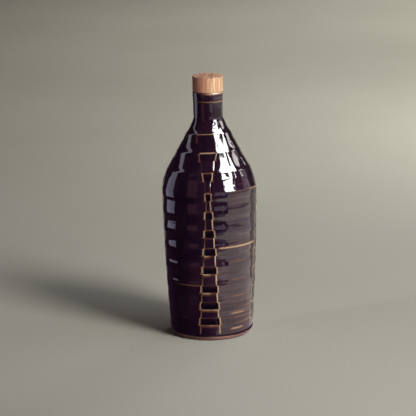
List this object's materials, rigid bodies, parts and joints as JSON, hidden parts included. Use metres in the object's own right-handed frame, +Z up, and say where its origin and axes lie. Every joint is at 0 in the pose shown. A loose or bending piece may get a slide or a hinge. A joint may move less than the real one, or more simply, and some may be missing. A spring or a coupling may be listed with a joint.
{
  "type": "sake bottle",
  "caption": "Ringed, faceted stoneware sake bottle with a dark glaze, narrow neck and a round wooden stopper on a cork that pulls straight out.",
  "frame": {"origin": "centre of the foot, on the surface the bottle stands on", "axes": "+Z up along the bottle's axis; -Y is the front, where the front strip of pockets runs; +X to the right seen from the front"},
  "size_m": [0.0946, 0.0946, 0.26],
  "materials": {
    "stoneware": "matte fired clay",
    "dark_glaze": "glossy near-black iron glaze that breaks to tan on the edges",
    "liner_glaze": "glossy brown liner glaze",
    "turned_wood": "bare turned wood, vertical grain",
    "cork": "natural cork"
  },
  "bodies": {
    "bottle": {"stoneware_body": "stoneware", "outer_glaze": "dark_glaze", "liner_glaze": "liner_glaze"},
    "stopper": {"stopper_head": "turned_wood", "stopper_cork": "cork"}
  },
  "joints": [
    {"name": "stopper_pull", "type": "slide", "parent": "bottle", "child": "stopper", "axis": [0, 0, 1], "range_m": [0, 0.04]}
  ]
}
